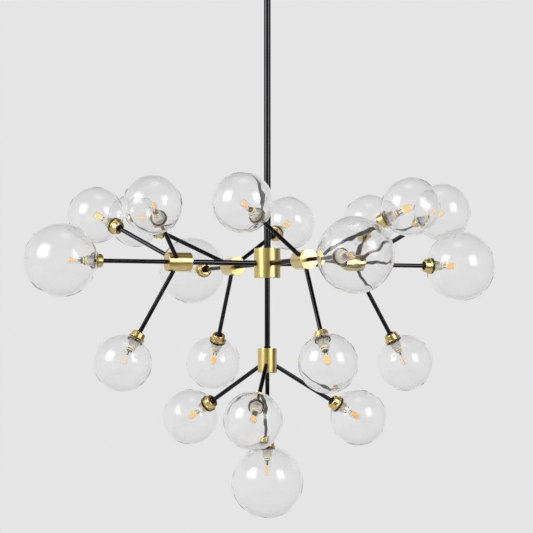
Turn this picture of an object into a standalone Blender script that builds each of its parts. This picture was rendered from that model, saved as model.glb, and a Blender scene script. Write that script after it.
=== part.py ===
"""A hanging chandelier with twenty clear glass globes, in metres, +Z up.

The origin is the middle of the ceiling bracket's top face, and everything hangs below it.
A stem carries an upper hub with four level tubes at right angles, and a lower tube drops
to one more hub. Each tube ends in a cluster: a hub with one arm straight outwards and
three arms splayed round it. Every arm ends in a cup, a lampholder, a bulb and a globe.
"""

from math import asin, cos, pi, radians, sin, sqrt, tan

import bmesh
import bpy
from mathutils import Matrix, Vector

# Fits
GAP = 0.0003  # what touching pieces keep between them
OVERRUN = 0.002  # how far a cut runs past the face that it opens
WELD = 0.00001  # vertices closer than this are one

# Overall heights and reaches, between the centres of hubs
ceiling_to_hub = 0.640
hub_to_cluster = 0.178
hub_to_lower_cluster = 0.183
splay_angle = radians(60)  # of the three splayed arms, from the line of the outward arm
splayed_arms = 3

# Tubes
stem_diameter = 0.0127
level_tube_diameter = 0.010
lower_tube_diameter = 0.010
arm_diameter = 0.008

# Upper hub, a plain drum
upper_hub_diameter = 0.050
upper_hub_height = 0.056
upper_hub_socket_depth = 0.010

# Cluster hub, a smaller drum, drilled for the tube behind it and four arms
cluster_hub_diameter = 0.036
cluster_hub_length = 0.046
tube_socket_depth = 0.010
arm_socket_floor = 0.0137  # from the hub's centre to the bottom of each arm's hole

# Lock nut where the lower tube meets the lower hub
lock_nut_wall = 0.0009
lock_nut_height = 0.0035

# Collar nut and cup at the end of each arm
hub_to_end_cup = 0.149  # from the hub's centre to the cup's back
hub_to_splayed_cup = 0.152
collar_nut_wall = 0.0023
collar_nut_length = 0.008
cup_back_diameter = 0.0236
cup_mouth_diameter = 0.0254
cup_flange_diameter = 0.0324
cup_flange_thickness = 0.0012
cup_flare_length = 0.002
cup_depth = 0.012

# Lampholder and bulb
nipple_diameter = 0.010
clamp_ring_lap = 0.001  # how far the ring reaches past the edge of the glass
clamp_ring_thickness = 0.0015
clamp_ring_clearance = 0.0013
holder_diameter = 0.0156
holder_length = 0.014
bulb_diameter = 0.013
bulb_length = 0.036  # with the ceramic end that holds it
bulb_tip_length = 0.005

# Globes
small_globe_diameter = 0.107
large_globe_diameter = 0.135
glass_thickness = 0.002
glass_mouth_diameter = 0.021

# Hanger: a knuckle under the canopy, tilting on a cross pin
canopy_to_pin = 0.0235
hanger_diameter = 0.022
hanger_tongue_thickness = 0.008
hanger_tongue_width = 0.015
hanger_slot_clearance = 0.004  # above the tongue's round end
hanger_swing_clearance = 0.0012  # from the clevis's round end to the coupler
hanger_pin_diameter = 0.006
hanger_pin_head_diameter = 0.009
hanger_pin_head_thickness = 0.0015
coupler_diameter = 0.018
coupler_length = 0.024
coupler_socket_depth = 0.015
hanger_nut_diameter = 0.018
hanger_nut_height = 0.005

# Canopy
canopy_diameter = 0.128
canopy_depth = 0.026
canopy_corner = 0.010
canopy_wall = 0.0015
canopy_ceiling_gap = 0.0005
canopy_screw_inset = 0.019  # from the canopy's edge to each screw

# Canopy screws
screw_shank_diameter = 0.004
screw_head_diameter = 0.010
screw_head_height = 0.006

# Ceiling bracket, a strap with two long slots and two screw holes
bracket_end_margin = 0.010  # past the screw holes
bracket_width = 0.022
bracket_thickness = 0.0025
bracket_slot_width = 0.005
bracket_slot_length = 0.012
bracket_slot_spacing = 0.065

# Sizes that follow from these, and that several pieces share
canopy_screw_spacing = canopy_diameter - 2 * canopy_screw_inset
canopy_floor = -canopy_ceiling_gap - canopy_depth
pin_height = canopy_floor - canopy_to_pin
coupler_top = -hanger_diameter / 2 - hanger_swing_clearance  # from the pin
coupler_bottom = coupler_top - coupler_length
lower_hub_top = cluster_hub_length / 2 - hub_to_lower_cluster  # from the upper hub's centre

# Which way each level tube points, and what each cluster's splayed arms are called in turn
level_directions = {"left": (-1, 0, 0), "back": (0, 1, 0), "right": (1, 0, 0), "front": (0, -1, 0)}
splayed_names = {
    "left": ("down", "up_front", "up_back"),
    "back": ("down", "up_left", "up_right"),
    "right": ("down", "up_back", "up_front"),
    "front": ("down", "up_right", "up_left"),
    "lower": ("right", "front_left", "back_left"),
}

# Facets round each turned piece
HUB_FACETS = 24
STEM_FACETS = 16
TUBE_FACETS = 12
LIGHT_FACETS = 9
SMALL_GLOBE_FACETS = 12
LARGE_GLOBE_FACETS = 14
SMALL_GLOBE_BANDS = 5
LARGE_GLOBE_BANDS = 6
CANOPY_FACETS = 24
CANOPY_CORNER_FACETS = 3
SCREW_FACETS = 10
SCREW_DOME_FACETS = 3
HANGER_FACETS = 16
NUT_FACETS = 6
ROUND_END_FACETS = 8
SHARP_EDGE = radians(40)


# Materials


def make_material(name, colour, metallic, roughness, transmission=0.0):
    material = bpy.data.materials.new(name)
    material.use_nodes = True
    shader = material.node_tree.nodes["Principled BSDF"]
    shader.inputs["Base Color"].default_value = (*colour, 1.0)
    shader.inputs["Metallic"].default_value = metallic
    shader.inputs["Roughness"].default_value = roughness
    shader.inputs["Transmission Weight"].default_value = transmission
    material.diffuse_color = (*colour, 1.0)
    return material


# Mesh helpers


def turned_mesh(name, outline, facets):
    """Spins an outline of (radius, height) points about Z.

    The outline is open where both its ends lie on the axis, and closed into a ring otherwise.
    """
    bm = bmesh.new()
    points = [bm.verts.new((radius, 0, height)) for radius, height in outline]
    edges = [bm.edges.new(pair) for pair in zip(points, points[1:])]
    if outline[0][0] > 0:
        edges.append(bm.edges.new((points[-1], points[0])))
    bmesh.ops.spin(
        bm, geom=points + edges, cent=(0, 0, 0), axis=(0, 0, 1), angle=2 * pi, steps=facets, use_merge=True
    )
    return finished_mesh(name, bm)


def extruded_mesh(name, outline, thickness):
    """Extrudes a flat outline of (x, y) points, centred on its plane, along Z."""
    bm = bmesh.new()
    face = bm.faces.new([bm.verts.new((x, y, -thickness / 2)) for x, y in outline])
    top = bmesh.ops.extrude_face_region(bm, geom=[face])["geom"]
    moved = [item for item in top if isinstance(item, bmesh.types.BMVert)]
    bmesh.ops.translate(bm, verts=moved, vec=(0, 0, thickness))
    return finished_mesh(name, bm)


def finished_mesh(name, bm):
    bmesh.ops.remove_doubles(bm, verts=bm.verts, dist=WELD)
    bmesh.ops.recalc_face_normals(bm, faces=bm.faces)
    mesh = bpy.data.meshes.new(name)
    bm.to_mesh(mesh)
    bm.free()
    mesh.shade_smooth()
    mesh.set_sharp_from_angle(angle=SHARP_EDGE)
    return mesh


def rod_outline(diameter, start, end):
    return [(0, start), (diameter / 2, start), (diameter / 2, end), (0, end)]


def stadium_outline(length, width, facets):
    """A slot's outline: two straight sides along X with round ends."""
    radius = width / 2
    straight = (length - width) / 2
    right = [(straight + radius * sin(t), -radius * cos(t)) for t in arc_angles(facets)]
    left = [(-x, -y) for x, y in right]
    return right + left


def knuckle_outline(width, top, facets):
    """A lug round the origin: half a circle below, straight sides up to a flat top."""
    radius = width / 2
    below = [(-radius * cos(t), -radius * sin(t)) for t in arc_angles(facets)]
    return below + [(radius, top), (-radius, top)]


def arc_angles(facets):
    return [pi * i / facets for i in range(facets + 1)]


def box_outline(width, low, high):
    return [(-width / 2, low), (width / 2, low), (width / 2, high), (-width / 2, high)]


# Objects


def place(name, mesh, material, parent, matrix=Matrix()):
    obj = bpy.data.objects.new(name, mesh)
    bpy.context.scene.collection.objects.link(obj)
    if not mesh.materials:
        mesh.materials.append(material)
    obj.parent = parent
    obj.matrix_local = matrix
    return obj


def place_empty(name, parent, matrix):
    empty = bpy.data.objects.new(name, None)
    bpy.context.scene.collection.objects.link(empty)
    empty.parent = parent
    empty.matrix_local = matrix
    return empty


def combine(obj, tool_mesh, operation, matrix=Matrix()):
    """Adds a Boolean to obj, with a hidden tool that moves with it."""
    tool = bpy.data.objects.new(f"{obj.name}_{operation.lower()}_{len(obj.modifiers)}", tool_mesh)
    bpy.context.scene.collection.objects.link(tool)
    tool.parent = obj
    tool.matrix_local = matrix
    tool.hide_render = True
    tool.display_type = "WIRE"
    modifier = obj.modifiers.new(tool.name, "BOOLEAN")
    modifier.operation = operation
    modifier.solver = "EXACT"
    modifier.object = tool


def towards(direction, side):
    """Turns local +Z to direction, with local +X as near to side as it can be."""
    z_axis = Vector(direction).normalized()
    y_axis = z_axis.cross(Vector(side)).normalized()
    x_axis = y_axis.cross(z_axis)
    return Matrix((x_axis, y_axis, z_axis)).transposed().to_4x4()


ACROSS = towards((1, 0, 0), (0, 1, 0))  # local +Z along X, the pin's line, and local +Y up


# Hubs


def splayed_direction(index):
    """The line of a splayed arm in its hub's frame, where +Z is the outward arm."""
    turn = 2 * pi * index / splayed_arms
    return Vector((sin(splay_angle) * cos(turn), sin(splay_angle) * sin(turn), cos(splay_angle)))


def splayed_frame(index):
    return towards(splayed_direction(index), (0, 0, 1))


def drum_mesh(name, diameter, length):
    return turned_mesh(name, rod_outline(diameter, -length / 2, length / 2), HUB_FACETS)


def drill(hub, holes):
    """Drills round holes, each a diameter, its floor and the surface it starts from, and its direction.

    The floor and the surface are measured from the hub's centre. One cutter holds every hole.
    """
    bm = bmesh.new()
    for diameter, floor, surface, direction in holes:
        hole = turned_mesh("hole", rod_outline(diameter + 2 * GAP, floor, surface + OVERRUN), TUBE_FACETS)
        side = (0, 0, 1) if abs(Vector(direction).z) < cos(splay_angle / 2) else (1, 0, 0)
        hole.transform(towards(direction, side))
        bm.from_mesh(hole)
    combine(hub, finished_mesh("holes", bm), "DIFFERENCE")


def cluster_hub(name, tube_diameter, material, parent):
    """A cluster's hub round its frame's origin, with the tube's hole behind it."""
    hub = place(name, drum_mesh(name, cluster_hub_diameter, cluster_hub_length), material, parent)
    half = cluster_hub_length / 2
    slant = cluster_hub_diameter / 2 / sin(splay_angle) + arm_diameter / 2 / tan(splay_angle)
    holes = [
        (tube_diameter, half - tube_socket_depth, half, (0, 0, -1)),
        (arm_diameter, arm_socket_floor, half, (0, 0, 1)),
    ]
    splayed = [splayed_direction(index) for index in range(splayed_arms)]
    holes += [(arm_diameter, arm_socket_floor, slant, direction) for direction in splayed]
    drill(hub, holes)


def upper_hub(material, parent):
    hub = place("upper_hub", drum_mesh("upper_hub", upper_hub_diameter, upper_hub_height), material, parent)
    half = upper_hub_height / 2
    radius = upper_hub_diameter / 2
    depth = upper_hub_socket_depth
    holes = [
        (stem_diameter, half - depth, half, (0, 0, 1)),
        (lower_tube_diameter, half - depth, half, (0, 0, -1)),
    ]
    levels = level_directions.values()
    holes += [(level_tube_diameter, radius - depth, radius, direction) for direction in levels]
    drill(hub, holes)


# Lights, in the frame of their arm: the origin is the hub's centre and +Z runs along the arm


def globe_centre(cup, diameter):
    """The globe's mouth rests on the front of the cup that starts at this distance from the hub."""
    return cup + cup_depth + GAP + sqrt((diameter / 2) ** 2 - (glass_mouth_diameter / 2) ** 2)


def globe_outline(cup, diameter, bands):
    """A blown globe with a round mouth, from the outer pole over the rim to the inner pole."""
    centre = globe_centre(cup, diameter)

    def arc(radius):
        start = asin(glass_mouth_diameter / 2 / radius)
        angles = [start + (pi - start) * i / bands for i in range(bands)]
        return [(radius * sin(a), centre - radius * cos(a)) for a in angles] + [(0, centre + radius)]

    outside = arc(diameter / 2)
    inside = arc(diameter / 2 - glass_thickness)
    return outside[::-1] + inside


def clamp_ring_back(cup, diameter):
    """Where the ring inside the globe starts, just clear of the glass round the mouth."""
    inner = diameter / 2 - glass_thickness
    ring = glass_mouth_diameter / 2 + clamp_ring_lap
    return globe_centre(cup, diameter) - sqrt(inner**2 - ring**2) + clamp_ring_clearance


def light_outline(cup, globe_diameter):
    """Arm, collar nut, cup, clamp ring, lampholder and bulb, all round one line."""
    cup_front = cup + cup_depth
    arm = arm_diameter / 2
    collar = arm + collar_nut_wall
    flange = cup_flange_diameter / 2
    flange_back = cup_front - cup_flange_thickness
    nipple = nipple_diameter / 2
    ring = glass_mouth_diameter / 2 + clamp_ring_lap
    ring_back = clamp_ring_back(cup, globe_diameter)
    ring_front = ring_back + clamp_ring_thickness
    holder = holder_diameter / 2
    holder_end = ring_front + holder_length
    bulb = bulb_diameter / 2
    bulb_end = holder_end + bulb_length
    return [
        (0, arm_socket_floor + GAP),
        (arm, arm_socket_floor + GAP),
        (arm, cup - collar_nut_length),
        (collar, cup - collar_nut_length / 2),
        (collar, cup),
        (cup_back_diameter / 2, cup),
        (cup_mouth_diameter / 2, flange_back - cup_flare_length),
        (flange, flange_back),
        (flange, cup_front),
        (nipple, cup_front),
        (nipple, ring_back),
        (ring, ring_back),
        (ring, ring_front),
        (holder, ring_front),
        (holder, holder_end),
        (bulb, holder_end),
        (bulb, bulb_end - bulb_tip_length),
        (0, bulb_end),
    ]


def light_meshes(kind, cup, diameter, facets, bands):
    """The two meshes that every light of one kind shares."""
    arm = turned_mesh(f"{kind}_light", light_outline(cup, diameter), LIGHT_FACETS)
    globe = turned_mesh(f"{kind}_globe", globe_outline(cup, diameter, bands), facets)
    return arm, globe


def add_light(name, meshes, materials, parent, frame):
    arm, globe = meshes
    place(f"arm_{name}", arm, materials["black"], parent, frame)
    place(f"globe_{name}", globe, materials["glass"], parent, frame)


def add_cluster(name, tube_diameter, lights, materials, parent, frame):
    """A hub with one outward arm and the splayed arms, in a frame whose +Z points outwards."""
    centre = place_empty(f"{name}_cluster", parent, frame)
    cluster_hub(f"hub_{name}", tube_diameter, materials["brass"], centre)
    add_light(f"{name}_end", lights["end"], materials, centre, Matrix())
    for index, arm_name in enumerate(splayed_names[name]):
        add_light(f"{name}_{arm_name}", lights["splayed"], materials, centre, splayed_frame(index))


# Ceiling pieces, at the height of the ceiling


def add_bracket(material, parent):
    length = canopy_screw_spacing + 2 * bracket_end_margin
    outline = stadium_outline(length, bracket_width, ROUND_END_FACETS)
    middle = Matrix.Translation((0, 0, -bracket_thickness / 2))
    mesh = extruded_mesh("ceiling_bracket", outline, bracket_thickness)
    bracket = place("ceiling_bracket", mesh, material, parent, middle)
    through = bracket_thickness + 2 * OVERRUN
    slot_outline = stadium_outline(bracket_slot_length, bracket_slot_width, ROUND_END_FACETS)
    slot = extruded_mesh("bracket_slot", slot_outline, through)
    hole_outline = rod_outline(screw_shank_diameter + 2 * GAP, -through / 2, through / 2)
    hole = turned_mesh("bracket_hole", hole_outline, SCREW_FACETS)
    for side in (-1, 1):
        combine(bracket, slot, "DIFFERENCE", Matrix.Translation((side * bracket_slot_spacing / 2, 0, 0)))
        combine(bracket, hole, "DIFFERENCE", Matrix.Translation((side * canopy_screw_spacing / 2, 0, 0)))


def dish_profile(radius, corner, floor):
    """The dish's round corner and its side up to the rim, from the middle outwards."""
    turns = [pi / 2 * i / CANOPY_CORNER_FACETS for i in range(CANOPY_CORNER_FACETS + 1)]
    curve = [(radius - corner + corner * sin(t), floor + corner - corner * cos(t)) for t in turns]
    return curve + [(radius, -canopy_ceiling_gap)]


def add_canopy(material, parent):
    radius = canopy_diameter / 2
    hole = nipple_diameter / 2 + GAP
    inner_floor = canopy_floor + canopy_wall
    outside = dish_profile(radius, canopy_corner, canopy_floor)
    inside = dish_profile(radius - canopy_wall, canopy_corner - canopy_wall, inner_floor)
    outline = [(hole, canopy_floor)] + outside + inside[::-1] + [(hole, inner_floor)]
    canopy = place("canopy", turned_mesh("canopy", outline, CANOPY_FACETS), material, parent)
    cut = rod_outline(screw_shank_diameter + 2 * GAP, canopy_floor - OVERRUN, inner_floor + OVERRUN)
    hole_mesh = turned_mesh("canopy_hole", cut, SCREW_FACETS)
    for side in (-1, 1):
        combine(canopy, hole_mesh, "DIFFERENCE", Matrix.Translation((side * canopy_screw_spacing / 2, 0, 0)))


def add_canopy_screws(material, parent):
    shank = screw_shank_diameter / 2
    shank_top = -canopy_ceiling_gap
    head = screw_head_diameter / 2
    underside = canopy_floor - GAP
    dome_height = screw_head_height / 2
    turns = [pi / 2 * i / SCREW_DOME_FACETS for i in range(SCREW_DOME_FACETS)]
    dome = [(head * cos(t), underside - dome_height - dome_height * sin(t)) for t in turns]
    outline = [(0, underside - screw_head_height)] + dome[::-1]
    outline += [(head, underside), (shank, underside), (shank, shank_top), (0, shank_top)]
    mesh = turned_mesh("canopy_screw", outline, SCREW_FACETS)
    for side, name in ((-1, "left"), (1, "right")):
        where = Matrix.Translation((side * canopy_screw_spacing / 2, 0, 0))
        place(f"canopy_screw_{name}", mesh, material, parent, where)


# Hanger, a knuckle that lets the stem hang straight, in a frame whose origin is the pin's centre


def pin_bore():
    outline = rod_outline(hanger_pin_diameter + 2 * GAP, -hanger_diameter, hanger_diameter)
    return turned_mesh("pin_bore", outline, TUBE_FACETS)


def add_clevis(material, parent):
    """A round bar with a slot across its end, hung in the canopy's hole by a nut."""
    radius = hanger_diameter / 2
    neck = nipple_diameter / 2
    end = -radius - OVERRUN
    shoulder = canopy_to_pin - GAP
    nut_bottom = canopy_to_pin + canopy_wall + GAP
    nut_top = nut_bottom + hanger_nut_height
    outline = [(0, end), (radius, end), (radius, shoulder), (neck, shoulder), (neck, nut_top), (0, nut_top)]
    clevis = place("hanger_clevis", turned_mesh("hanger_clevis", outline, HANGER_FACETS), material, parent)

    nut = turned_mesh("hanger_nut", rod_outline(hanger_nut_diameter, nut_bottom, nut_top), NUT_FACETS)
    combine(clevis, nut, "UNION")

    # The far end is rounded about the pin, so that it clears the coupler at every tilt
    round_end = knuckle_outline(hanger_diameter + 2 * GAP, nut_top + OVERRUN, ROUND_END_FACETS)
    rounding = extruded_mesh("clevis_rounding", round_end, 2 * hanger_diameter)
    combine(clevis, rounding, "INTERSECT", ACROSS)

    slot_top = hanger_tongue_width / 2 + hanger_slot_clearance
    slot_outline = box_outline(2 * hanger_diameter, -hanger_diameter, slot_top)
    slot = extruded_mesh("clevis_slot", slot_outline, hanger_tongue_thickness + 2 * GAP)
    combine(clevis, slot, "DIFFERENCE", ACROSS)
    combine(clevis, pin_bore(), "DIFFERENCE", ACROSS)


def add_hanger_pin(material, parent):
    pin = hanger_pin_diameter / 2
    head = hanger_pin_head_diameter / 2
    head_back = hanger_diameter / 2 + GAP
    head_face = head_back + hanger_pin_head_thickness
    half = [(0, head_face), (head, head_face), (head, head_back), (pin, head_back)]
    outline = [(r, -z) for r, z in half] + half[::-1]
    place("hanger_pin", turned_mesh("hanger_pin", outline, TUBE_FACETS), material, parent, ACROSS)


def add_tongue(material, parent):
    """A coupler with the stem's socket below, and a flat lug above it on the pin."""
    coupler = rod_outline(coupler_diameter, coupler_bottom, coupler_top)
    tongue = place("hanger_tongue", turned_mesh("hanger_tongue", coupler, HANGER_FACETS), material, parent)
    lug_outline = knuckle_outline(hanger_tongue_width, OVERRUN - coupler_top, ROUND_END_FACETS)
    lug = extruded_mesh("tongue_lug", lug_outline, hanger_tongue_thickness)
    combine(tongue, lug, "UNION", Matrix.Rotation(pi, 4, "X") @ ACROSS)
    combine(tongue, pin_bore(), "DIFFERENCE", ACROSS)
    socket_top = coupler_bottom + coupler_socket_depth
    socket = rod_outline(stem_diameter + 2 * GAP, coupler_bottom - OVERRUN, socket_top)
    combine(tongue, turned_mesh("stem_socket", socket, STEM_FACETS), "DIFFERENCE")


# Stem and tubes, in a frame whose origin is the upper hub's centre


def add_tubes(material, parent, pin_above_hub):
    stem_bottom = upper_hub_height / 2 - upper_hub_socket_depth + GAP
    stem_top = pin_above_hub + coupler_bottom + coupler_socket_depth - GAP
    stem = turned_mesh("stem", rod_outline(stem_diameter, stem_bottom, stem_top), STEM_FACETS)
    place("stem", stem, material, parent)

    start = upper_hub_diameter / 2 - upper_hub_socket_depth + GAP
    end = hub_to_cluster - cluster_hub_length / 2 + tube_socket_depth - GAP
    level_tube = turned_mesh("level_tube", rod_outline(level_tube_diameter, start, end), TUBE_FACETS)
    for name, direction in level_directions.items():
        place(f"level_tube_{name}", level_tube, material, parent, towards(direction, (0, 0, -1)))

    top = -upper_hub_height / 2 + upper_hub_socket_depth - GAP
    bottom = lower_hub_top - tube_socket_depth + GAP
    lower_tube = turned_mesh("lower_tube", rod_outline(lower_tube_diameter, bottom, top), TUBE_FACETS)
    place("lower_tube", lower_tube, material, parent)

    bore = lower_tube_diameter / 2 + GAP
    nut = bore + lock_nut_wall
    nut_bottom = lower_hub_top + GAP
    nut_top = nut_bottom + lock_nut_height
    nut_outline = [(bore, nut_bottom), (nut, nut_bottom), (nut, nut_top), (bore, nut_top)]
    place("lower_lock_nut", turned_mesh("lower_lock_nut", nut_outline, TUBE_FACETS), material, parent)


def add_ceiling_pieces(materials):
    fixed = place_empty("ceiling", None, Matrix())
    add_bracket(materials["steel"], fixed)
    add_canopy(materials["black"], fixed)
    add_canopy_screws(materials["brass"], fixed)
    at_pin = place_empty("pin_centre", fixed, Matrix.Translation((0, 0, pin_height)))
    add_clevis(materials["black"], at_pin)
    add_hanger_pin(materials["steel"], at_pin)


def add_hanging_pieces(materials):
    """Everything that tilts on the pin."""
    swinging = place_empty("tilt_axis", None, Matrix.Translation((0, 0, pin_height)))
    add_tongue(materials["black"], swinging)

    pin_above_hub = ceiling_to_hub + pin_height
    middle = place_empty("upper_hub_centre", swinging, Matrix.Translation((0, 0, -pin_above_hub)))
    upper_hub(materials["brass"], middle)
    add_tubes(materials["black"], middle, pin_above_hub)

    large = LARGE_GLOBE_FACETS, LARGE_GLOBE_BANDS
    small = SMALL_GLOBE_FACETS, SMALL_GLOBE_BANDS
    lights = {
        "end": light_meshes("end", hub_to_end_cup, large_globe_diameter, *large),
        "splayed": light_meshes("splayed", hub_to_splayed_cup, small_globe_diameter, *small),
    }
    for name, direction in level_directions.items():
        frame = Matrix.Translation(Vector(direction) * hub_to_cluster) @ towards(direction, (0, 0, -1))
        add_cluster(name, level_tube_diameter, lights, materials, middle, frame)
    frame = Matrix.Translation((0, 0, -hub_to_lower_cluster)) @ towards((0, 0, -1), (1, 0, 0))
    add_cluster("lower", lower_tube_diameter, lights, materials, middle, frame)


def main():
    for obj in list(bpy.data.objects):
        bpy.data.objects.remove(obj, do_unlink=True)
    materials = {
        "black": make_material("black_metal", (0.012, 0.012, 0.013), 0.0, 0.25),
        "brass": make_material("brass", (0.78, 0.56, 0.22), 1.0, 0.28),
        "glass": make_material("clear_glass", (1.0, 1.0, 1.0), 0.0, 0.0, 1.0),
        "steel": make_material("steel", (0.60, 0.60, 0.62), 1.0, 0.35),
    }
    add_ceiling_pieces(materials)
    add_hanging_pieces(materials)


main()
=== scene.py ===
"""The looks of a chandelier with twenty clear glass globes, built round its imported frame, in metres.

Each light is made piece by piece: arm, collar nut, cup, threaded nipple, clamp ring with its rubber
seal, lampholder, bulb and globe. Hubs, tubes, canopy and hanger are made again with finer edges, and
stand for the nodes they match. The ceiling bracket keeps its own node and only gets its finish.
"""

from math import asin, atan2, cos, pi, radians, sin, sqrt, tan

import bmesh
import bpy
from mathutils import Matrix, Vector


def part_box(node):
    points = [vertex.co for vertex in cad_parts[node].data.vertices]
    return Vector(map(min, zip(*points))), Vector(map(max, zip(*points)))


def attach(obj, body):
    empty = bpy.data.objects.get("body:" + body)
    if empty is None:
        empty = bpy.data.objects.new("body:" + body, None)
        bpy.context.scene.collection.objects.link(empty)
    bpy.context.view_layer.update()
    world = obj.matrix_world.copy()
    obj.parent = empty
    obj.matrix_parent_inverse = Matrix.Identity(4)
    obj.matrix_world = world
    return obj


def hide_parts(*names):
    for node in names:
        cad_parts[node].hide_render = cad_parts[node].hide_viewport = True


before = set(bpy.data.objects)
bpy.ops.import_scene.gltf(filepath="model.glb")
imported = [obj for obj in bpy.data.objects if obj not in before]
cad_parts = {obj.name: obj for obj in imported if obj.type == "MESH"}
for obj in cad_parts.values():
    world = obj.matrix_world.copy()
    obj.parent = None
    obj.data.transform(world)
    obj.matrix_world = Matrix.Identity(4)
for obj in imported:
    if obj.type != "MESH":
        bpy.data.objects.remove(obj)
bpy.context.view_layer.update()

# Fits and edges
GAP = 0.0003  # what touching pieces keep between them
WELD = 0.000005  # vertices closer than this are one
OVERRUN = 0.002  # how far a cut runs past the face that it opens
SHARP = radians(28)  # edges that turn more than this are rounded or shaded sharp
EDGE_SEGMENTS = 3

# Upper hub and stem
hub_socket_depth = 0.010
stem_diameter = 0.0127
tube_diameter = 0.010
drum_rounding = 0.0006
drum_rings = 28

# Cluster hub
arm_diameter = 0.008
arm_socket_floor = 0.0137  # from the hub's centre to the bottom of each arm's hole
splay_angle = radians(60)
splayed_arms = 3
splayed_names = {
    "left": ("down", "up_front", "up_back"),
    "back": ("down", "up_left", "up_right"),
    "right": ("down", "up_back", "up_front"),
    "front": ("down", "up_right", "up_left"),
    "lower": ("right", "front_left", "back_left"),
}

# Collar nut and cup, from the cup's back
end_cup = 0.149  # from the hub's centre to the cup's back
splayed_cup = 0.152
collar_nut_length = 0.008
collar_nut_diameter = 0.0134
collar_nut_lead = 0.0098  # the small end of the nut's cone
collar_nut_sunk = 0.0052  # how much of the nut lies in the cup's back
collar_nut_rounding = 0.0004
cup_depth = 0.012
cup_back_diameter = 0.0256
cup_mouth_diameter = 0.0270
cup_flange_diameter = 0.0324
cup_flange_thickness = 0.0013
cup_flare_length = 0.0012
cup_back_rounding = 0.0028
cup_rounding = 0.0003
cup_socket_diameter = 0.0170  # the hollow in the cup's back, for the nut
cup_socket_depth = 0.0055
cup_recess_diameter = 0.0196
cup_recess_depth = 0.0008

# Clamp ring and lampholder
nipple_diameter = 0.010
nipple_thread_pitch = 0.001
nipple_thread_depth = 0.0003
nipple_sunk = 0.0005  # how far it starts behind the cup's front
clamp_ring_lap = 0.001  # past the edge of the globe's mouth
clamp_ring_diameter = 0.0276
clamp_ring_thickness = 0.0015
clamp_ring_rounding = 0.0002
clamp_ring_clearance = 0.0013  # between the ring and the glass behind it
# A black rubber seal round the clamp ring, which is also a painted dark reflection at the ring's edge
seal_and_dark_edge_diameter = 0.0302
seal_and_dark_edge_lip = 0.0003  # how far the seal stands back past the ring, towards the glass
seal_and_dark_edge_height = 0.0026
holder_length = 0.014
holder_thread_diameter = 0.0208
holder_thread_depth = 0.0013
holder_thread_pitch = 0.0018
holder_threads = 6
holder_neck_diameter = 0.0178
holder_bead = 0.0007
holder_recess_depth = 0.0010
holder_rounding = 0.0002

# Bulb, from the lampholder's end
ceramic_diameter = 0.0160
ceramic_length = 0.0088
ceramic_groove = 0.0014
ceramic_groove_depth = 0.0020
ceramic_front_diameter = 0.0144
ceramic_neck_diameter = 0.0106
ceramic_neck_length = 0.0018
ceramic_rounding = 0.0003
ceramic_painted_shade_radius = 0.0062  # nearer than this to the bulb's line, the ceramic gets a painted shade of dark brown
ceramic_unshaded_radius = 0.0068  # and beyond this it has no painted shade
capsule_diameter = 0.013
capsule_wall = 0.0006
capsule_tip_height = 0.0040
bulb_length = 0.036
wire_diameter = 0.0016
wire_spacing = 0.0060
wire_lap = 0.0015  # how far the wires reach past the strip's foot
strip_start = 0.0162
strip_bare_length = 0.0014  # the part of the board without phosphor
strip_length = 0.0172
strip_width = 0.0101
strip_thickness = 0.0015
strip_rounding = 0.0004

# Globes
end_globe_diameter = 0.135
splayed_globe_diameter = 0.107
glass_thickness = 0.002
glass_mouth_diameter = 0.021

# Which way each bulb's flat strip faces, in degrees from facing the photograph's camera
strip_turns = {
    "left_end": 70, "left_down": 82, "left_up_front": 64, "left_up_back": 8,
    "right_end": 12, "right_down": 80, "right_up_front": -18, "right_up_back": 35,
    "front_end": 40, "front_down": -30, "front_up_left": 55, "front_up_right": -6,
    "back_end": -45, "back_down": 25, "back_up_left": 15, "back_up_right": -25,
    "lower_end": 76, "lower_right": 10, "lower_front_left": -14, "lower_back_left": 20,
}

# Canopy, hanger and screws
canopy_wall = 0.0015
canopy_corner = 0.010
canopy_rim_gap = 0.0005
screw_shank_diameter = 0.004
screw_rounding = 0.0004
hanger_slot = 0.0086  # the width of the clevis's slot, which takes the tongue
hanger_slot_clearance = 0.004  # above the tongue's round end
hanger_tongue_width = 0.015
hanger_tongue_thickness = 0.008
hanger_pin_diameter = 0.006
hanger_pin_head_diameter = 0.009
hanger_pin_head_thickness = 0.0015
hanger_swing_clearance = 0.0012  # between the clevis's round end and the coupler
hanger_nut_width = 0.018
hanger_nut_height = 0.005
canopy_to_pin = 0.0235
coupler_diameter = 0.018
coupler_length = 0.024
coupler_socket_depth = 0.015
hanger_rounding = 0.0005

# Facets round each turned piece
DRUM_FACETS = 96
TUBE_FACETS = 40
CUP_FACETS = 72
SMALL_FACETS = 48
GLOBE_FACETS = 96
GLOBE_BANDS = 40
WIRE_FACETS = 10
FLOOR_FACETS = 64
NUT_SIDES = 6
ARC_STEPS = 6

# Finishes
lacquer_roughness = 0.20
ring_share = 0.6  # of the marks on turned metal, and clouds are the rest
ring_waver = 60.0  # how often per metre a ring changes, from one side of a piece to the other
mark_strength = 0.25
ripple_strength = 0.3
unevenness_share = 0.08  # patches per metre, as a share of the ripples per metre
noise_low = 0.3  # noise under this counts as none
noise_high = 0.7  # and over this as full
# Painted shade: the dark brown of the ceramic's groove and end
ceramic_painted_shade = (0.10, 0.07, 0.035)
phosphor_colour = (0.90, 0.46, 0.11)
phosphor_grain_colour = (0.82, 0.395, 0.085)
phosphor_grains = 900.0  # per metre
phosphor_grain_height = 0.0002
# Strength of a faint painted glow on the bulb's strip and its bare board
painted_glow_strength = 0.12
board_colour = (0.82, 0.80, 0.74)
clear_colour = (0.99, 0.99, 0.988)

# Photograph's camera, from the upper hub
camera_distance = 4.536
camera_turn = radians(22.07)  # from the front, towards the left
camera_rise = radians(2.156)  # how far the view looks up
camera_aim_drop = 0.006
camera_aim_left = 0.0015
camera_lens = 162.66  # in millimetres, like the sensor's width
sensor_width = 36.0

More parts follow.
